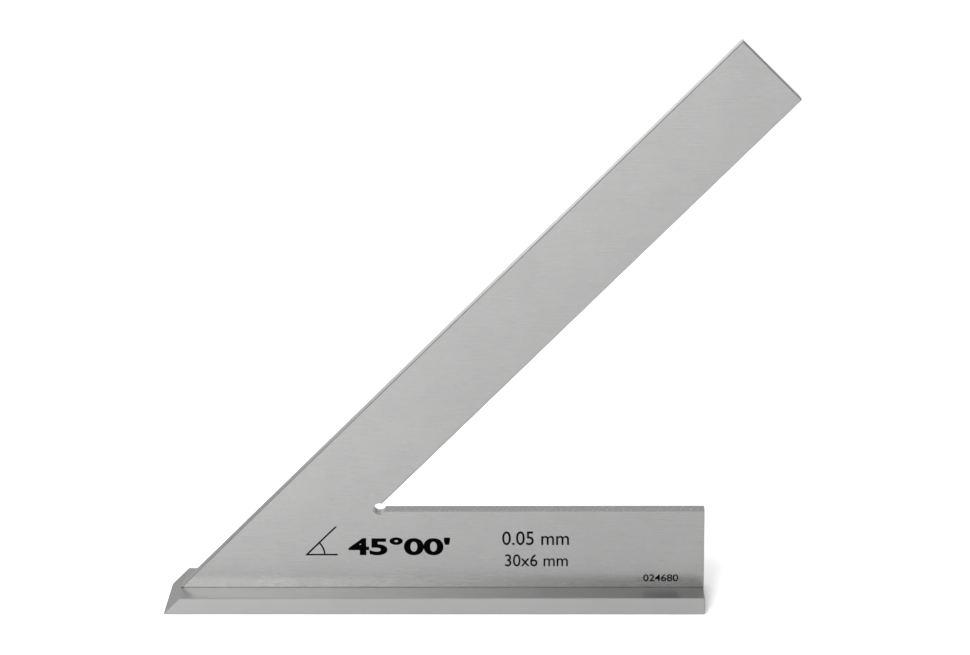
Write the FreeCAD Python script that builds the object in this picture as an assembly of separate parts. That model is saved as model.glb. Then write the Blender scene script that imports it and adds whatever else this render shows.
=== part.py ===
import FreeCAD, Part
import math
import os

# Fixed 45 degree square. All sizes are in millimetres.
# The origin is the middle of the base's underside. +X runs along the base towards its square
# end, +Z is up, and the blade stands upright in an XZ plane, a little in front of the middle.

# Base: a flat bar whose left end is cut at 45 degrees, with a shallow groove along its top.
BASE_LENGTH = 200.0
BASE_WIDTH = 32.0
BASE_HEIGHT = 6.5
BASE_CHAMFER = 0.3
GROOVE_DEPTH = 0.5
GROOVE_ROOM = 0.1

# Blade: a flat plate with a leg along the base and an arm at 45 degrees, both equally wide.
# The arm's length is along its outer edge, up from the plane of the base's underside.
ARM_LENGTH = 300.0
BLADE_WIDTH = 30.0
BLADE_THICKNESS = 6.0
BLADE_Y = -1.5
BLADE_PROUD = 0.5
BLADE_CHAMFER = 0.3
FOOT_CHAMFER = 0.6

# Relief hole, drilled on the bisector of the inner corner between the arm and the leg.
RELIEF_HOLE_R = 2.2
RELIEF_HOLE_FROM_CORNER = 2.0
BISECTOR_ANGLE = 22.5

# Countersunk hex socket screws, M3 x 12, put in from beneath. Their thread is drawn as rings.
SCREW_X = (-75.0, -25.0, 25.0, 75.0)
SCREW_R = 1.5
SCREW_LENGTH = 12.0
THREAD_PITCH = 0.5
THREAD_DEPTH = 0.3
THREAD_START = 2.2
HEAD_R = 3.0
HEAD_SUNK = 0.2
SOCKET_ACROSS_FLATS = 2.0
SOCKET_DEPTH = 1.1
CLEARANCE_HOLE_R = 1.7
THREAD_GAP = 0.02

# Dowel pins, 3 x 12.
DOWEL_X = {"left": -50.0, "right": 50.0}
DOWEL_R = 1.5
DOWEL_LENGTH = 12.0
DOWEL_SUNK = 0.3
DOWEL_CHAMFER = 0.35
DOWEL_GAP = 0.01

# Blind holes in the blade run past the end of the screw or pin.
HOLE_OVERRUN = 1.5
DRILL_POINT_ANGLE = 118.0

# Extra length on cutting tools, so that no cut ends in a face.
OVERCUT = 1.0

TIP_X = -BASE_LENGTH / 2
END_X = BASE_LENGTH / 2
BLADE_FRONT = BLADE_Y - BLADE_THICKNESS / 2
BLADE_BACK = BLADE_Y + BLADE_THICKNESS / 2
GROOVE_FLOOR = BASE_HEIGHT - GROOVE_DEPTH
LEG_TOP = BASE_HEIGHT + BLADE_WIDTH
DIAGONAL = math.sqrt(0.5)
ARM_CORNER_X = TIP_X - BLADE_PROUD / DIAGONAL
UP = FreeCAD.Vector(0, 0, 1)


def prism_along_y(points, y_from, y_to):
    """Solid of an outline of (x, z) points, from one Y to another."""
    corners = [FreeCAD.Vector(x, y_from, z) for x, z in points]
    face = Part.Face(Part.makePolygon(corners + corners[:1]))
    return face.extrude(FreeCAD.Vector(0, y_to - y_from, 0))


def prism_along_x(points, x_from, x_to):
    """Solid of an outline of (y, z) points, from one X to another."""
    corners = [FreeCAD.Vector(x_from, y, z) for y, z in points]
    face = Part.Face(Part.makePolygon(corners + corners[:1]))
    return face.extrude(FreeCAD.Vector(x_to - x_from, 0, 0))


def turned(profile, x):
    """Solid of a (radius, z) outline turned about an upright axis through the blade's middle."""
    corners = [FreeCAD.Vector(x + r, BLADE_Y, z) for r, z in profile]
    face = Part.Face(Part.makePolygon(corners + corners[:1]))
    return face.revolve(FreeCAD.Vector(x, BLADE_Y, 0), UP, 360)


def make_base():
    side = [(TIP_X, 0), (END_X, 0), (END_X, BASE_HEIGHT), (TIP_X + BASE_HEIGHT, BASE_HEIGHT)]
    bar = prism_along_y(side, -BASE_WIDTH / 2, BASE_WIDTH / 2)
    bar = bar.makeChamfer(BASE_CHAMFER, [e for e in bar.Edges if is_base_edge_to_chamfer(e)])
    cuts = [groove()]
    for x in SCREW_X:
        cuts.append(countersunk_hole(x))
    for x in DOWEL_X.values():
        cuts.append(dowel_hole(x))
    return bar.cut(cuts)


def is_base_edge_to_chamfer(edge):
    """The bar's long edges and the edges round its square end, not those of its slanted end."""
    box = edge.BoundBox
    along = box.YLength < 1e-6 and box.ZLength < 1e-6
    at_square_end = box.XMin > END_X - 1e-6
    return along or at_square_end


def groove():
    """Cutting tool for the groove that the blade's foot stands in, with room at both sides."""
    width = BLADE_THICKNESS + 2 * GROOVE_ROOM
    corner = FreeCAD.Vector(TIP_X - OVERCUT, BLADE_FRONT - GROOVE_ROOM, GROOVE_FLOOR)
    return Part.makeBox(BASE_LENGTH + 2 * OVERCUT, width, GROOVE_DEPTH + OVERCUT, corner)


def countersunk_hole(x):
    """Cutting tool for a screw's clearance hole with a 90 degree countersink beneath."""
    mouth_r = HEAD_R + HEAD_SUNK
    cone_top = mouth_r - CLEARANCE_HOLE_R
    profile = [(0, -OVERCUT), (mouth_r + OVERCUT, -OVERCUT), (CLEARANCE_HOLE_R, cone_top),
               (CLEARANCE_HOLE_R, BASE_HEIGHT), (0, BASE_HEIGHT)]
    return turned(profile, x)


def dowel_hole(x):
    """Cutting tool for a dowel's hole right through the base."""
    start = FreeCAD.Vector(x, BLADE_Y, -OVERCUT)
    return Part.makeCylinder(DOWEL_R + DOWEL_GAP, BASE_HEIGHT + OVERCUT, start, UP)


def make_blade():
    outline = blade_outline()
    plate = prism_along_y(outline, BLADE_FRONT, BLADE_BACK)
    plate = plate.makeChamfer(BLADE_CHAMFER, [e for e in plate.Edges if is_blade_edge_to_chamfer(e)])
    cuts = [relief_hole(*outline[3])]
    for side in (-1, 1):
        cuts.append(foot_chamfer(side))
    for x in SCREW_X:
        cuts.append(blind_hole(x, SCREW_R + THREAD_GAP, HEAD_SUNK + SCREW_LENGTH + HOLE_OVERRUN))
    for x in DOWEL_X.values():
        cuts.append(blind_hole(x, DOWEL_R + DOWEL_GAP, DOWEL_SUNK + DOWEL_LENGTH + HOLE_OVERRUN))
    return plate.cut(cuts)


def relief_hole(corner_x, corner_z):
    """Cutting tool for the round hole that takes away the inner corner."""
    angle = math.radians(BISECTOR_ANGLE)
    start = FreeCAD.Vector(corner_x + RELIEF_HOLE_FROM_CORNER * math.cos(angle), BLADE_FRONT - OVERCUT,
                           corner_z + RELIEF_HOLE_FROM_CORNER * math.sin(angle))
    return Part.makeCylinder(RELIEF_HOLE_R, BLADE_THICKNESS + 2 * OVERCUT, start,
                             FreeCAD.Vector(0, 1, 0))


def blade_outline():
    """The plate's corners as (x, z), from its sharp foot along the leg and up the arm."""
    rise = ARM_LENGTH * DIAGONAL
    across = BLADE_WIDTH * DIAGONAL
    inner_x = ARM_CORNER_X + LEG_TOP + BLADE_WIDTH / DIAGONAL
    return [(ARM_CORNER_X + GROOVE_FLOOR, GROOVE_FLOOR), (END_X, GROOVE_FLOOR), (END_X, LEG_TOP),
            (inner_x, LEG_TOP), (ARM_CORNER_X + rise + across, rise - across),
            (ARM_CORNER_X + rise, rise)]


def is_blade_edge_to_chamfer(edge):
    """Every edge of the two flat faces, except along the leg's foot."""
    box = edge.BoundBox
    on_a_face = box.YLength < 1e-6
    return on_a_face and box.ZMax > GROOVE_FLOOR + 1e-6


def foot_chamfer(side):
    """Cutting tool for the larger chamfer along the leg's foot: side is -1 in front, 1 behind."""
    face_y = BLADE_Y + side * BLADE_THICKNESS / 2
    reach = FOOT_CHAMFER + OVERCUT
    points = [(face_y + side * OVERCUT, GROOVE_FLOOR + reach),
              (face_y - side * reach, GROOVE_FLOOR - OVERCUT),
              (face_y + side * OVERCUT, GROOVE_FLOOR - OVERCUT)]
    return prism_along_x(points, TIP_X - OVERCUT, END_X + OVERCUT)


def blind_hole(x, radius, depth_to):
    """Cutting tool for a drilled blind hole that goes up into the blade."""
    cone = radius / math.tan(math.radians(DRILL_POINT_ANGLE / 2))
    profile = [(0, GROOVE_FLOOR - OVERCUT), (radius, GROOVE_FLOOR - OVERCUT),
               (radius, depth_to), (0, depth_to + cone)]
    return turned(profile, x)


def make_screw(x):
    tip = HEAD_SUNK + SCREW_LENGTH
    shank_start = HEAD_SUNK + HEAD_R - SCREW_R
    root_r = SCREW_R - THREAD_DEPTH
    profile = [(0, HEAD_SUNK), (HEAD_R, HEAD_SUNK), (SCREW_R, shank_start), (SCREW_R, THREAD_START)]
    rings = math.floor((tip - THREAD_START) / THREAD_PITCH) - 1
    for k in range(rings):
        crest = THREAD_START + (k + 1) * THREAD_PITCH
        profile.append((root_r, crest - THREAD_PITCH / 2))
        profile.append((SCREW_R, crest))
    profile += [(root_r, tip - THREAD_PITCH / 2), (root_r, tip), (0, tip)]
    return turned(profile, x).cut(hex_socket(x))


def hex_socket(x):
    """Cutting tool for the hexagonal recess in a screw's head."""
    corner_r = SOCKET_ACROSS_FLATS / math.sqrt(3)
    corners = []
    for k in range(6):
        angle = math.radians(60 * k)
        corners.append(FreeCAD.Vector(x + corner_r * math.cos(angle),
                                      BLADE_Y + corner_r * math.sin(angle), HEAD_SUNK - OVERCUT))
    face = Part.Face(Part.makePolygon(corners + corners[:1]))
    return face.extrude(UP * (SOCKET_DEPTH + OVERCUT))


def make_dowel(x):
    low = DOWEL_SUNK
    high = DOWEL_SUNK + DOWEL_LENGTH
    end_r = DOWEL_R - DOWEL_CHAMFER
    profile = [(0, low), (end_r, low), (DOWEL_R, low + DOWEL_CHAMFER),
               (DOWEL_R, high - DOWEL_CHAMFER), (end_r, high), (0, high)]
    return turned(profile, x)


def main():
    os.makedirs("parts", exist_ok=True)
    parts = {"base": make_base(), "blade": make_blade()}
    for number, x in enumerate(SCREW_X, start=1):
        parts[f"base_screw_{number}"] = make_screw(x)
    for side, x in DOWEL_X.items():
        parts[f"dowel_pin_{side}"] = make_dowel(x)
    for name, shape in parts.items():
        print(name, "valid", shape.isValid(), "solids", len(shape.Solids), "volume", round(shape.Volume, 1))
        shape.exportStep(f"parts/{name}.step")


main()
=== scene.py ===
import math

import bpy
from mathutils import Matrix, Vector


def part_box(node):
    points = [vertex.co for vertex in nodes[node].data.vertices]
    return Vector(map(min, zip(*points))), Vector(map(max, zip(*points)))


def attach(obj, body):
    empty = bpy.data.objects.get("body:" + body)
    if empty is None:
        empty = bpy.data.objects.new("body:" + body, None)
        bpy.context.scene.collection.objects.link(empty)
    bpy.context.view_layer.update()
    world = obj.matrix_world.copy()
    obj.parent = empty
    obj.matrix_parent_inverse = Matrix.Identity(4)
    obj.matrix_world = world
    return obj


# Fixed 45 degree square on its base, standing on a pale studio floor. Everything is in metres, in
# the row frame: +X runs along the base towards its square end, +Y is behind the blade, +Z is up.

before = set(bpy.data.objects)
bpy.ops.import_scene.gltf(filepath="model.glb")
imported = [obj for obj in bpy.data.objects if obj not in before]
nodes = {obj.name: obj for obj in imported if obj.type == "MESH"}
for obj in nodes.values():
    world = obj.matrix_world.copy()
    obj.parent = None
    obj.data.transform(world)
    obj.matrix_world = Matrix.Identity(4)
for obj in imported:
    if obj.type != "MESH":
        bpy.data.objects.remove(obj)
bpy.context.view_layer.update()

MM = 0.001

# The camera stands in front of the square, a little to the right of its middle, and looks down.
CAMERA_AT = (0.042247, -1.113721, 0.433919)
CAMERA_DOWN = math.radians(16.4148)
CAMERA_TURN = math.radians(1.1731)
CAMERA_ROLL = math.radians(-0.4309)
CAMERA_LENS = 118.357

# Studio light: an even glow all round with a broad brighter one from the front left, and plain
# square softboxes. Each has a place, the point it is aimed at, a size and a power in watts.
WORLD_EVEN = 0.75
GLOW_FROM = (-0.48, -0.86, 0.17)
GLOW_SHARPNESS = 9
GLOW_STRENGTH = 13.9
SOFTBOXES = (
    ("front_left", (-0.22, -1.25, 0.42), (0, 0, 0.05), 0.3, 10.7),
    ("floor_pool", (-0.28, -0.25, 0.22), (-0.12, -0.1, 0), 0.12, 1.32),
    ("overhead", (0, -0.5, 1.4), (0, 0, 0.05), 0.7, 1.8),
    ("right", (1.2, 0, 0.5), (0, 0, 0.08), 0.6, 0.5),
    ("behind", (0.1, 1.5, 0.6), (0, 0, 0.08), 0.8, 2.3),
    ("behind_left", (-0.55, 2.0, 0.3), (0, 0, 0.1), 0.7, 4.2),
    ("behind_right", (0.9, 1.2, 0.25), (0, 0, 0.08), 0.6, 3.0),
)
# This one brightens the floor that the steel mirrors, and isn't mirrored itself.
NOT_MIRRORED = "floor_pool"

FLOOR_HALF = 6.0
FLOOR_COLOUR = (0.9, 0.9, 0.9, 1)
FLOOR_ROUGHNESS = 0.8
FLOOR_SHINE = 0.2

# Ground steel of the base and the blade. Its brightness varies with the grinding lines, with longer
# smears and with soft clouds, each by the given part of it either way.
STEEL_COLOUR = (0.1955, 0.1955, 0.194)
STEEL_EDGE_TINT = (0.55, 0.55, 0.55, 1)
BASE_ROUGHNESS = 0.33
BLADE_ROUGHNESS = 0.27
ROUGHNESS_VARIES = 0.005
LINE_LENGTH = 9 * MM
FACE_LINE_PITCH = 0.22 * MM
TOP_LINE_PITCH = 0.3 * MM
EDGE_LINE_PITCH = 0.25 * MM
LINES_VARY = 0.004
LINE_DEPTH = 0.00007 * MM
SMEAR_LENGTH = 40 * MM
SMEAR_PITCH = 2.5 * MM
SMEARS_VARY = 0.004
CLOUD_SIZE = 11 * MM
CLOUD_DETAIL = 3.0
CLOUDS_VARY = 0.014

# Black oxide of the screws, brighter where the wear noise is high.
OXIDE_COLOUR = (0.035, 0.036, 0.04)
OXIDE_METALLIC = 0.6
OXIDE_ROUGHNESS = 0.43
OXIDE_ROUGHNESS_VARIES = -0.07
WEAR_SIZE = 0.6 * MM
WEAR_DETAIL = 5.0
WEAR_FROM = 0.45
WEAR_TO = 0.75
OXIDE_BRIGHTNESS = 0.8
WORN_BRIGHTNESS = 1.9
WEAR_DEPTH = 0.004 * MM

# Fine ground steel of the dowel pins.
PIN_COLOUR = (0.58, 0.58, 0.57)
PIN_ROUGHNESS = 0.25
PIN_ROUGHNESS_VARIES = 0.05
SWIRL_SIZE = 0.5 * MM
SWIRL_DETAIL = 4.0
SWIRL_VARIES = 0.1
SWIRL_DEPTH = 0.001 * MM

# Matt black of the etched marks.
ETCH_COLOUR = (0.0003, 0.0003, 0.0003)
ETCH_SHINE = 0.005
ETCH_ROUGHNESS = 0.75
ETCH_ROUGHNESS_VARIES = 0.07
SPECKLE_SIZE = 0.12 * MM
SPECKLE_DETAIL = 4.0
SPECKLE_VARIES = 0.35
SPECKLE_DEPTH = 0.003 * MM

# Blender's noise mostly stays between these two values.
NOISE_LOW = 0.3
NOISE_HIGH = 0.7
STREAK_DETAIL = 2.0
STREAK_NOISE_ROUGHNESS = 0.6

# The part of a face's normal along an axis. Up to the first value the face doesn't count as looking
# that way, and from the second on it does.
FACES_FROM = 0.8
FACES_TO = 0.95

# Places on the CAD model that the marks are measured from.
BLADE_FACE_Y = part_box("blade")[0].y
LEG_END_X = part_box("base")[1].x
SHOULDER_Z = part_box("base")[1].z

# Rotations that take X to the line of some streaks: along the base, up the arm, across the base,
# and nearly across the leg's top edge, as its cutter went.
ALONG_BASE = (0, 0, 0)
ALONG_ARM = (0, -math.pi / 4, 0)
ACROSS_BASE = (0, 0, math.pi / 2)
CUTTER_PATH = (0, 0, math.radians(72))

# Etched marks: a plain angle symbol and numbers. Each is placed by its bottom left corner, from
# the leg's square end and from the base's shoulder.
MARK_PROUD = 0.015 * MM
ANGLE = math.radians(45)
SYMBOL_FROM_END = 147.9 * MM
SYMBOL_ABOVE = 12.6 * MM
SYMBOL_SIZE = 12.2 * MM
SYMBOL_STROKE = 0.6 * MM
ARC_RADIUS = 7.4 * MM
ARC_STEPS = 24
TEXT_STEPS = 5
TEXT_EXTRUDE = 0.5
# Name, words, distance from the end, height above the shoulder, width, height and boldness.
TEXTS = (
    ("mark_angle", "45°00'", 131.7 * MM, 12.6 * MM, 37.7 * MM, 7.1 * MM, 0.035),
    ("mark_accuracy", "0.05 mm", 74.7 * MM, 16.6 * MM, 24.7 * MM, 5.4 * MM, 0.006),
    ("mark_section", "30x6 mm", 73.7 * MM, 8.2 * MM, 23.3 * MM, 4.8 * MM, 0.006),
    ("mark_number", "024680", 22.5 * MM, 2.3 * MM, 13.0 * MM, 2.8 * MM, 0.014),
)


# ---- Node helpers ----------------------------------------------------------------------------

def new_material(name):
    """A material with a Principled shader, as (material, its node tree, the shader)."""
    material = bpy.data.materials.new(name)
    material.use_nodes = True
    tree = material.node_tree
    return material, tree, tree.nodes["Principled BSDF"]


def node(tree, kind, settings, inputs):
    """Adds a shader node. Inputs are given by name or number, each as a value or a link's start."""
    made = tree.nodes.new("ShaderNode" + kind)
    for name, value in settings.items():
        setattr(made, name, value)
    for key, value in inputs.items():
        if isinstance(value, bpy.types.NodeSocket):
            tree.links.new(value, made.inputs[key])
        else:
            made.inputs[key].default_value = value
    return made


def calculate(tree, operation, a, b=0.0):
    return node(tree, "Math", {"operation": operation}, {0: a, 1: b}).outputs[0]


def mix(tree, factor, a, b):
    """The value a where the factor is 0, and b where it is 1."""
    return node(tree, "Mix", {"data_type": "FLOAT"}, {0: factor, 2: a, 3: b}).outputs[0]


def remap(tree, value, low, high, to_low, to_high):
    """Value between low and high, smoothly taken to the range from to_low to to_high."""
    settings = {"interpolation_type": "SMOOTHSTEP"}
    inputs = {0: value, 1: low, 2: high, 3: to_low, 4: to_high}
    return node(tree, "MapRange", settings, inputs).outputs[0]


def vary(tree, noise, middle, by):
    """A noise from 0 to 1, taken to a range of the given half width about a middle."""
    return remap(tree, noise, NOISE_LOW, NOISE_HIGH, middle - by, middle + by)


def row_position(tree):
    """The point's place in the row frame: every CAD object and mark sits at the origin."""
    return node(tree, "TexCoord", {}, {}).outputs["Object"]


def looks_along(tree, axis):
    """1 on faces that look along an axis, either way, and 0 on the others."""
    normal = node(tree, "TexCoord", {}, {}).outputs["Normal"]
    part = node(tree, "SeparateXYZ", {}, {0: normal}).outputs[axis]
    return remap(tree, calculate(tree, "ABSOLUTE", part), FACES_FROM, FACES_TO, 0.0, 1.0)


def streaks(tree, turn, length, pitch):
    """Noise from 0 to 1 drawn out into streaks of one length and pitch."""
    settings = {"vector_type": "TEXTURE"}
    inputs = {"Vector": row_position(tree), "Rotation": turn, "Scale": (length, pitch, pitch)}
    placed = node(tree, "Mapping", settings, inputs).outputs[0]
    inputs = {"Vector": placed, "Scale": 1.0, "Detail": STREAK_DETAIL,
              "Roughness": STREAK_NOISE_ROUGHNESS}
    return node(tree, "TexNoise", {}, inputs).outputs[0]


def clouds(tree, size, detail):
    """Soft patches of noise from 0 to 1."""
    inputs = {"Vector": row_position(tree), "Scale": 1 / size, "Detail": detail}
    return node(tree, "TexNoise", {}, inputs).outputs[0]


def finish_surface(tree, shader, colour, brightness, roughness, height, depth):
    """Links the colour times a brightness, the roughness, and a bump of the given depth."""
    scaled = node(tree, "VectorMath", {"operation": "SCALE"}, {0: colour, "Scale": brightness})
    bump = node(tree, "Bump", {}, {"Height": height, "Strength": 1.0, "Distance": depth})
    tree.links.new(scaled.outputs[0], shader.inputs["Base Color"])
    tree.links.new(roughness, shader.inputs["Roughness"])
    tree.links.new(bump.outputs[0], shader.inputs["Normal"])


# ---- Materials -------------------------------------------------------------------------------

def ground_steel(name, top_turn, edge_turn, middle_roughness):
    """Satin ground steel: fine grinding lines along the wide faces, others on tops and edges."""
    material, tree, shader = new_material(name)
    shader.inputs["Metallic"].default_value = 1.0
    shader.inputs["Specular Tint"].default_value = STEEL_EDGE_TINT
    face_lines = streaks(tree, ALONG_BASE, LINE_LENGTH, FACE_LINE_PITCH)
    top_lines = streaks(tree, top_turn, LINE_LENGTH, TOP_LINE_PITCH)
    edge_lines = streaks(tree, edge_turn, LINE_LENGTH, EDGE_LINE_PITCH)
    lines = mix(tree, looks_along(tree, "Z"), edge_lines, top_lines)
    lines = mix(tree, looks_along(tree, "Y"), lines, face_lines)
    smears = streaks(tree, ALONG_BASE, SMEAR_LENGTH, SMEAR_PITCH)
    patches = clouds(tree, CLOUD_SIZE, CLOUD_DETAIL)
    by_lines = vary(tree, lines, 1.0, LINES_VARY)
    by_smears = vary(tree, smears, 1.0, SMEARS_VARY)
    by_patches = vary(tree, patches, 1.0, CLOUDS_VARY)
    brightness = calculate(tree, "MULTIPLY", by_lines, by_smears)
    brightness = calculate(tree, "MULTIPLY", brightness, by_patches)
    roughness = vary(tree, lines, middle_roughness, ROUGHNESS_VARIES)
    finish_surface(tree, shader, STEEL_COLOUR, brightness, roughness, lines, LINE_DEPTH)
    return material


def black_oxide(name):
    """Black oxide on steel screws: blue-black, and a little lighter where it is worn."""
    material, tree, shader = new_material(name)
    shader.inputs["Metallic"].default_value = OXIDE_METALLIC
    wear = clouds(tree, WEAR_SIZE, WEAR_DETAIL)
    brightness = remap(tree, wear, WEAR_FROM, WEAR_TO, OXIDE_BRIGHTNESS, WORN_BRIGHTNESS)
    roughness = vary(tree, wear, OXIDE_ROUGHNESS, OXIDE_ROUGHNESS_VARIES)
    finish_surface(tree, shader, OXIDE_COLOUR, brightness, roughness, wear, WEAR_DEPTH)
    return material


def centreless_ground(name):
    """Fine ground steel of the dowel pins."""
    material, tree, shader = new_material(name)
    shader.inputs["Metallic"].default_value = 1.0
    swirl = clouds(tree, SWIRL_SIZE, SWIRL_DETAIL)
    brightness = vary(tree, swirl, 1.0, SWIRL_VARIES)
    roughness = vary(tree, swirl, PIN_ROUGHNESS, PIN_ROUGHNESS_VARIES)
    finish_surface(tree, shader, PIN_COLOUR, brightness, roughness, swirl, SWIRL_DEPTH)
    return material


def etched_black(name):
    """Matt black etching, slightly uneven."""
    material, tree, shader = new_material(name)
    shader.inputs["Specular IOR Level"].default_value = ETCH_SHINE
    speckle = clouds(tree, SPECKLE_SIZE, SPECKLE_DETAIL)
    brightness = vary(tree, speckle, 1.0, SPECKLE_VARIES)
    roughness = vary(tree, speckle, ETCH_ROUGHNESS, ETCH_ROUGHNESS_VARIES)
    finish_surface(tree, shader, ETCH_COLOUR, brightness, roughness, speckle, SPECKLE_DEPTH)
    return material


# ---- Etched marks ----------------------------------------------------------------------------

def add_mark(name, mesh, material):
    """A mark in the row frame, which stands still with the square."""
    mesh.materials.clear()
    mesh.materials.append(material)
    mark = bpy.data.objects.new(name, mesh)
    bpy.context.scene.collection.objects.link(mark)
    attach(mark, "root")


def thin_plates(name, outlines):
    """Mesh of closed outlines of (x, z) points, each as a thin flat plate in the blade's face."""
    points = []
    faces = []
    for outline in outlines:
        first = len(points)
        count = len(outline)
        points += [(x, BLADE_FACE_Y - MARK_PROUD, z) for x, z in outline]
        points += [(x, BLADE_FACE_Y + MARK_PROUD, z) for x, z in outline]
        faces.append([first + k for k in range(count)])
        faces.append([first + count + k for k in reversed(range(count))])
        for k in range(count):
            after = (k + 1) % count
            faces.append([first + after, first + k, first + count + k, first + count + after])
    mesh = bpy.data.meshes.new(name)
    mesh.from_pydata(points, [], faces)
    return mesh


def angle_bars(left, bottom):
    """Outline of the symbol's two bars, which meet in a point at the lower left."""
    reach = SYMBOL_STROKE / math.tan(ANGLE / 2)
    slant = SYMBOL_SIZE - SYMBOL_STROKE / math.sin(ANGLE)
    return [(left, bottom), (left + SYMBOL_SIZE, bottom), (left + SYMBOL_SIZE, bottom + SYMBOL_STROKE),
            (left + reach, bottom + SYMBOL_STROKE), (left + SYMBOL_SIZE, bottom + slant),
            (left + slant, bottom + slant)]


def angle_arc(left, bottom):
    """Outline of the arc between the symbol's bars, from the edge of one to the edge of the other."""
    inner = ARC_RADIUS - SYMBOL_STROKE / 2
    outer = ARC_RADIUS + SYMBOL_STROKE / 2
    start = math.asin(SYMBOL_STROKE / inner)
    angles = [start + (ANGLE - 2 * start) * k / ARC_STEPS for k in range(ARC_STEPS + 1)]
    there = [(left + outer * math.cos(a), bottom + outer * math.sin(a)) for a in angles]
    back = [(left + inner * math.cos(a), bottom + inner * math.sin(a)) for a in reversed(angles)]
    return there + back


def text_mesh(name, words, left, bottom, width, height, boldness):
    """Mesh of characters that just fill a width and a height in the blade's face."""
    curve = bpy.data.curves.new(name, "FONT")
    curve.body = words
    curve.offset = boldness
    curve.extrude = TEXT_EXTRUDE
    curve.resolution_u = TEXT_STEPS
    holder = bpy.data.objects.new(name + "_outline", curve)
    mesh = bpy.data.meshes.new_from_object(holder)
    bpy.data.objects.remove(holder)
    across = [v.co.x for v in mesh.vertices]
    upward = [v.co.y for v in mesh.vertices]
    scale_x = width / (max(across) - min(across))
    scale_z = height / (max(upward) - min(upward))
    for v in mesh.vertices:
        x = left + (v.co.x - min(across)) * scale_x
        z = bottom + (v.co.y - min(upward)) * scale_z
        v.co = (x, BLADE_FACE_Y - MARK_PROUD * v.co.z / TEXT_EXTRUDE, z)
    return mesh


def etch_marks():
    black = etched_black("etched_black")
    left = LEG_END_X - SYMBOL_FROM_END
    bottom = SHOULDER_Z + SYMBOL_ABOVE
    symbol = thin_plates("mark_symbol", [angle_bars(left, bottom), angle_arc(left, bottom)])
    add_mark("mark_symbol", symbol, black)
    for name, words, from_end, above, width, height, boldness in TEXTS:
        left = LEG_END_X - from_end
        add_mark(name, text_mesh(name, words, left, SHOULDER_Z + above, width, height, boldness), black)


# ---- Stage -----------------------------------------------------------------------------------

def pale_floor(half):
    mesh = bpy.data.meshes.new("floor")
    corners = [(-half, -half, 0), (half, -half, 0), (half, half, 0), (-half, half, 0)]
    mesh.from_pydata(corners, [], [(0, 1, 2, 3)])
    material, tree, shader = new_material("floor_paint")
    shader.inputs["Base Color"].default_value = FLOOR_COLOUR
    shader.inputs["Roughness"].default_value = FLOOR_ROUGHNESS
    shader.inputs["Specular IOR Level"].default_value = FLOOR_SHINE
    mesh.materials.append(material)
    floor = bpy.data.objects.new("floor", mesh)
    bpy.context.scene.collection.objects.link(floor)


def softbox(name, at, aim, size, power):
    """A square studio light at one point, aimed at another."""
    light = bpy.data.lights.new(name, "AREA")
    light.size = size
    light.energy = power
    lamp = bpy.data.objects.new(name, light)
    lamp.location = at
    lamp.rotation_euler = (Vector(aim) - Vector(at)).to_track_quat("-Z", "Y").to_euler()
    lamp.visible_camera = False
    lamp.visible_glossy = name != NOT_MIRRORED
    bpy.context.scene.collection.objects.link(lamp)


def studio_world():
    world = bpy.data.worlds.new("studio")
    world.use_nodes = True
    tree = world.node_tree
    direction = node(tree, "TexCoord", {}, {}).outputs["Generated"]
    dot = node(tree, "VectorMath", {"operation": "DOT_PRODUCT"}, {0: direction, 1: GLOW_FROM})
    facing = calculate(tree, "MAXIMUM", dot.outputs["Value"])
    glow = calculate(tree, "POWER", facing, GLOW_SHARPNESS)
    glow = calculate(tree, "MULTIPLY", glow, GLOW_STRENGTH)
    strength = calculate(tree, "ADD", glow, WORLD_EVEN)
    background = tree.nodes["Background"]
    background.inputs["Color"].default_value = (1, 1, 1, 1)
    tree.links.new(strength, background.inputs["Strength"])
    bpy.context.scene.world = world


def studio_camera():
    data = bpy.data.cameras.new("camera")
    data.lens = CAMERA_LENS
    camera = bpy.data.objects.new("camera", data)
    camera.matrix_world = (Matrix.Translation(CAMERA_AT)
                           @ Matrix.Rotation(CAMERA_TURN, 4, "Z")
                           @ Matrix.Rotation(math.pi / 2 - CAMERA_DOWN, 4, "X")
                           @ Matrix.Rotation(CAMERA_ROLL, 4, "Z"))
    bpy.context.scene.collection.objects.link(camera)
    bpy.context.scene.camera = camera


# ---- Build -----------------------------------------------------------------------------------

finishes = {
    "base": ground_steel("base_ground_steel", ALONG_BASE, ACROSS_BASE, BASE_ROUGHNESS),
    "blade": ground_steel("blade_ground_steel", CUTTER_PATH, ALONG_ARM, BLADE_ROUGHNESS),
    "base_screw": black_oxide("screw_black_oxide"),
    "dowel_pin": centreless_ground("pin_ground_steel"),
}
# The screws and the pins share a finish by the first two words of their names.
for name, obj in nodes.items():
    kind = name if name in finishes else "_".join(name.split("_")[:2])
    obj.material_slots[0].material = finishes[kind]

etch_marks()
studio_camera()
pale_floor(FLOOR_HALF)
studio_world()
for name, at, aim, size, power in SOFTBOXES:
    softbox(name, at, aim, size, power)
bpy.context.scene.view_settings.view_transform = "Standard"
